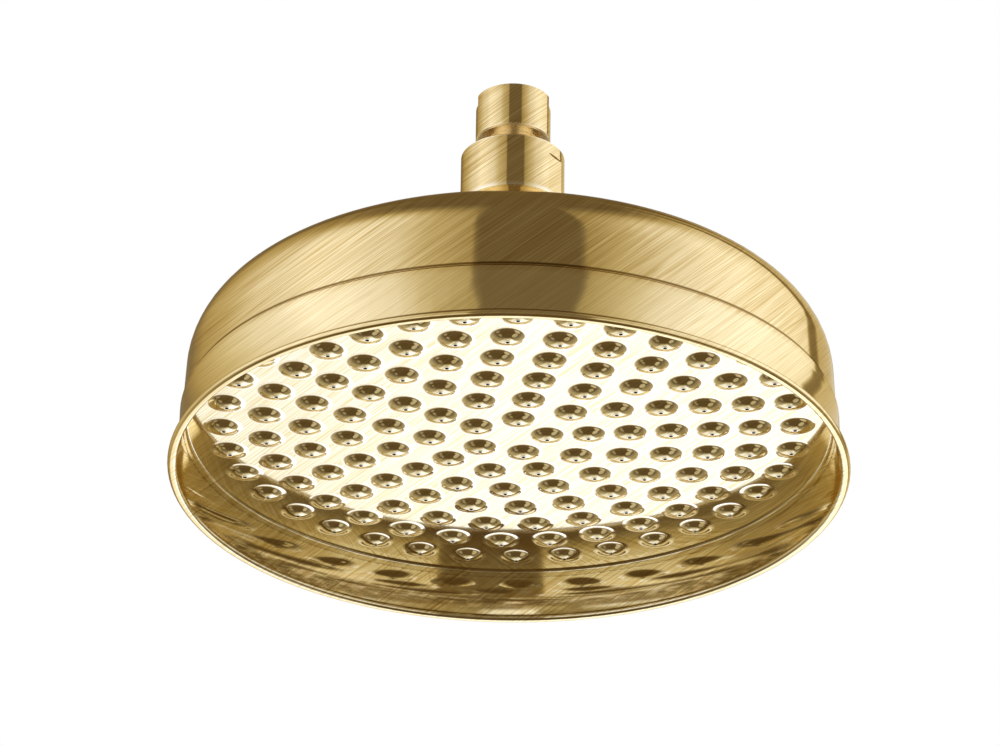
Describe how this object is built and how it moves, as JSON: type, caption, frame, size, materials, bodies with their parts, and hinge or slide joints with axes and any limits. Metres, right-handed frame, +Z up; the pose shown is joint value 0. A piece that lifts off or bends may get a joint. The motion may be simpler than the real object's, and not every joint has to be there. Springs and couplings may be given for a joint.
{
  "type": "shower head",
  "caption": "Bell-shaped brass shower head with a rolled rim, a dimpled spray plate and a threaded inlet on a ball swivel, so that it tilts and turns.",
  "frame": {"origin": "centre of the rolled rim's lower face", "axes": "+Z up along the bell's axis, out of the inlet's mouth; +X square to one of the inlet's spanner flats"},
  "size_m": [0.2286, 0.2286, 0.1472],
  "materials": {
    "brushed_brass": "brushed",
    "seat_nylon": "satin",
    "black_rubber": "matte",
    "strainer_steel": "satin",
    "red_fibre": "matte",
    "regulator_plastic": "satin"
  },
  "bodies": {
    "inlet": {"inlet_ball_stem": "brushed_brass", "strainer_disc": "strainer_steel", "inlet_washer": "black_rubber", "flow_regulator": "regulator_plastic", "regulator_o_ring": "black_rubber"},
    "seats": {"upper_ball_seat": "seat_nylon", "lower_ball_seal": "black_rubber"},
    "head": {"bell_shell": "brushed_brass", "spray_plate": "brushed_brass", "neck_boss": "brushed_brass", "crown_washer": "red_fibre", "lock_nut": "brushed_brass", "swivel_collar": "brushed_brass"}
  },
  "joints": [
    {"name": "tilt", "type": "hinge", "parent": "inlet", "child": "seats", "pos_m": [0, 0, 0.115], "axis": [1, 0, 0], "range_deg": [-15, 15]},
    {"name": "spin", "type": "hinge", "parent": "seats", "child": "head", "pos_m": [0, 0, 0.115], "axis": [0, 0, 1], "continuous": true}
  ]
}
